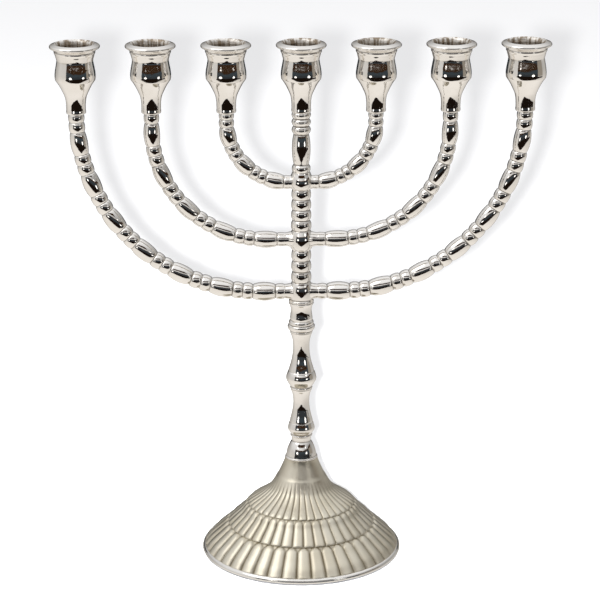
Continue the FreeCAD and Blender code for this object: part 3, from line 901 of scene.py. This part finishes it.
BLACK = flat_material("card_black", (0.010, 0.006, 0.004), glowing=True)
UMBER = flat_material("card_umber", (0.040, 0.020, 0.009), glowing=True)
SLATE = flat_material("card_slate", (0.040, 0.052, 0.062), glowing=True)
SMOKE = flat_material("card_smoke", (0.034, 0.039, 0.044), glowing=True)
DUSK = flat_material("card_dusk", (0.20, 0.185, 0.17), glowing=True)
GREIGE = flat_material("card_greige", (0.30, 0.27, 0.23), glowing=True)
ON_FLOOR = 0.002      # a card that lies on the floor is this much over it
FRONT = 1.25          # distance of the upright cards in front
BACK = 1.3            # distance of those behind, and of the outer edges of the cards on the floor
BACK_NEAR = 0.45      # distance of the near edge of the card on the floor behind

# the near edge of the dark floor in front, as (azimuth, distance)
FRONT_NEAR = (
    (-58, 0.95), (-50, 0.78), (-40, 0.62), (-28, 0.48), (-15, 0.38), (-5, 0.33), (5, 0.33),
    (15, 0.38), (28, 0.46), (40, 0.54), (54, 0.66), (66, 0.78), (80, 0.90), (100, 1.05),
)
near = [facing(azimuth, distance, ON_FLOOR) for azimuth, distance in FRONT_NEAR]
far = [facing(azimuth, BACK, ON_FLOOR) for azimuth in (100, 80, 60, 40, 20, 0, -20, -40, -58)]
card("front_floor_dark", near + far, BLACK)
for name, first, last, distance, bottom, top, material in (
    ("front_foot", -53, 66, FRONT, ON_FLOOR, 0.06, BLACK),
    ("front_low", -53, 66, FRONT, 0.06, 0.22, SMOKE),
    ("front_middle", -53, 66, FRONT, 0.22, 0.38, SLATE),
    ("front_high", -53, 66, FRONT, 0.38, 0.50, UMBER),
    ("front_top", -35, 40, FRONT, 0.74, 1.15, UMBER),
    ("right_high", 66, 98, FRONT, 0.42, 0.55, UMBER),
    ("right_middle", 66, 98, FRONT + 0.01, 0.05, 0.44, GREIGE),
):
    curved_card(name, first, last, distance, bottom, top, material)
back_near = [facing(azimuth, BACK_NEAR, ON_FLOOR) for azimuth in (145, 163, 180, 197, 215)]
back_far = [facing(azimuth, BACK, ON_FLOOR) for azimuth in (215, 197, 180, 163, 145)]
card("back_floor_grey", back_near + back_far, DUSK)
curved_card("back_low", 140, 222, BACK, ON_FLOOR, 0.26, SMOKE)
curved_card("back_high", 140, 222, BACK, 0.26, 0.44, DUSK)

area_light("key", (-0.9, -0.5, 1.5), (0, 0, 0.1), (1.3, 1.3), 4.5, (1.0, 0.985, 0.96))
SPOTS = (("low", 0.18, (0.20, 0.10), 0.10), ("high", 0.43, (0.16, 0.06), 0.045))
SPOT_DISTANCE = 0.78
for side, azimuth in (("left", -33), ("right", 42)):
    for level, height, size, power in SPOTS:
        area_light(f"spot_{side}_{level}", facing(azimuth, SPOT_DISTANCE, height), (0, 0, 0.2),
                   size, power, (1.0, 0.98, 0.95))
flash = lamp("flash", "POINT", (-0.073, -1.41, 0.588), 340.0, (1.0, 1.0, 1.0))
flash.data.shadow_soft_size = 0.012
flash.visible_glossy = False

world = bpy.data.worlds.new("studio")
bpy.context.scene.world = world
world.use_nodes = True
room = world.node_tree
sky = room.nodes["Background"]
direction = room.nodes.new("ShaderNodeSeparateXYZ")
around = room.nodes.new("ShaderNodeTexCoord").outputs["Generated"]
room.links.new(around, direction.inputs["Vector"])
right, back, up = (direction.outputs[i] for i in range(3))

# the room's tone from straight down to straight up, darker towards the right and the back
gradient = room.nodes.new("ShaderNodeValToRGB")
room.links.new(spread(room, up, -1, 1, 0, 1), gradient.inputs["Fac"])
ramp = gradient.color_ramp.elements
ramp[0].position = 0.0
ramp[0].color = (0.95, 0.91, 0.86, 1)
ramp[1].position = 1.0
ramp[1].color = (0.98, 0.985, 1.0, 1)
for position, colour in (
    (0.3, (0.88, 0.84, 0.79)), (0.46, (0.70, 0.68, 0.65)), (0.56, (0.68, 0.67, 0.66)),
    (0.7, (0.86, 0.86, 0.87)),
):
    stop = ramp.new(position)
    stop.color = (*colour, 1)
SHADE = (0.07, 0.065, 0.055)
eye_level = spread(room, combined(room, up, up, "MULTIPLY"), 0.0, 0.7, 1.0, 0.0)
rightness = spread(room, right, -0.1, 0.85, 0.0, 0.75)
right_shade = combined(room, rightness, spread(room, up, -0.1, 0.35, 0.35, 1.0), "MULTIPLY")
back_shade = spread(room, back, 0.1, 1.0, 0.0, 0.62)
shade = combined(room, combined(room, right_shade, back_shade, "MAXIMUM"), eye_level, "MULTIPLY")
room.links.new(mix(room, shade, gradient.outputs["Color"], SHADE), sky.inputs["Color"])
sky.inputs["Strength"].default_value = 1.0

VIEW_PITCH = 17.5947  # degrees that the camera looks down
VIEW_AZIMUTH = -1.75
camera = bpy.data.objects.new("camera", bpy.data.cameras.new("camera"))
camera.data.lens = 156.4
camera.data.sensor_width = 36
camera.data.shift_x = -0.002
camera.location = facing(VIEW_AZIMUTH, 1.409, 0.598)
camera.rotation_euler = (math.radians(90 - VIEW_PITCH), 0, math.radians(VIEW_AZIMUTH))
camera.data.clip_start = 0.05
bpy.context.scene.collection.objects.link(camera)
bpy.context.scene.camera = camera
bpy.context.scene.view_settings.view_transform = "Standard"
